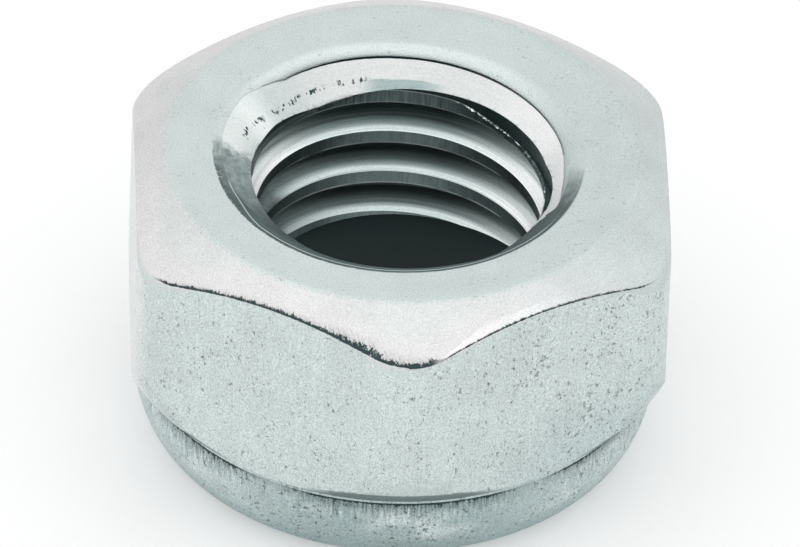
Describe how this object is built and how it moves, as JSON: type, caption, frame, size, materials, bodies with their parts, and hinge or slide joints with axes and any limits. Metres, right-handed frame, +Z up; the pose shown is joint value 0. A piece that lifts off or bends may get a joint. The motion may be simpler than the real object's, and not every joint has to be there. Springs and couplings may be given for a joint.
{
  "type": "hex lock nut",
  "caption": "Hex lock nut with a threaded bore, a chamfered bearing face and a rolled collar that holds a polymer locking ring.",
  "frame": {"origin": "on the thread axis, at the end of the rolled collar, which the nut stands on", "axes": "+Z up along the thread axis to the bearing face; one corner of the hexagon points along -Y"},
  "size_m": [0.013, 0.0144, 0.008],
  "materials": {
    "plated_steel": "satin zinc plate",
    "ring_polymer": "smooth moulded"
  },
  "bodies": {
    "root": {"nut_body": "plated_steel", "locking_ring": "ring_polymer"}
  },
  "joints": []
}
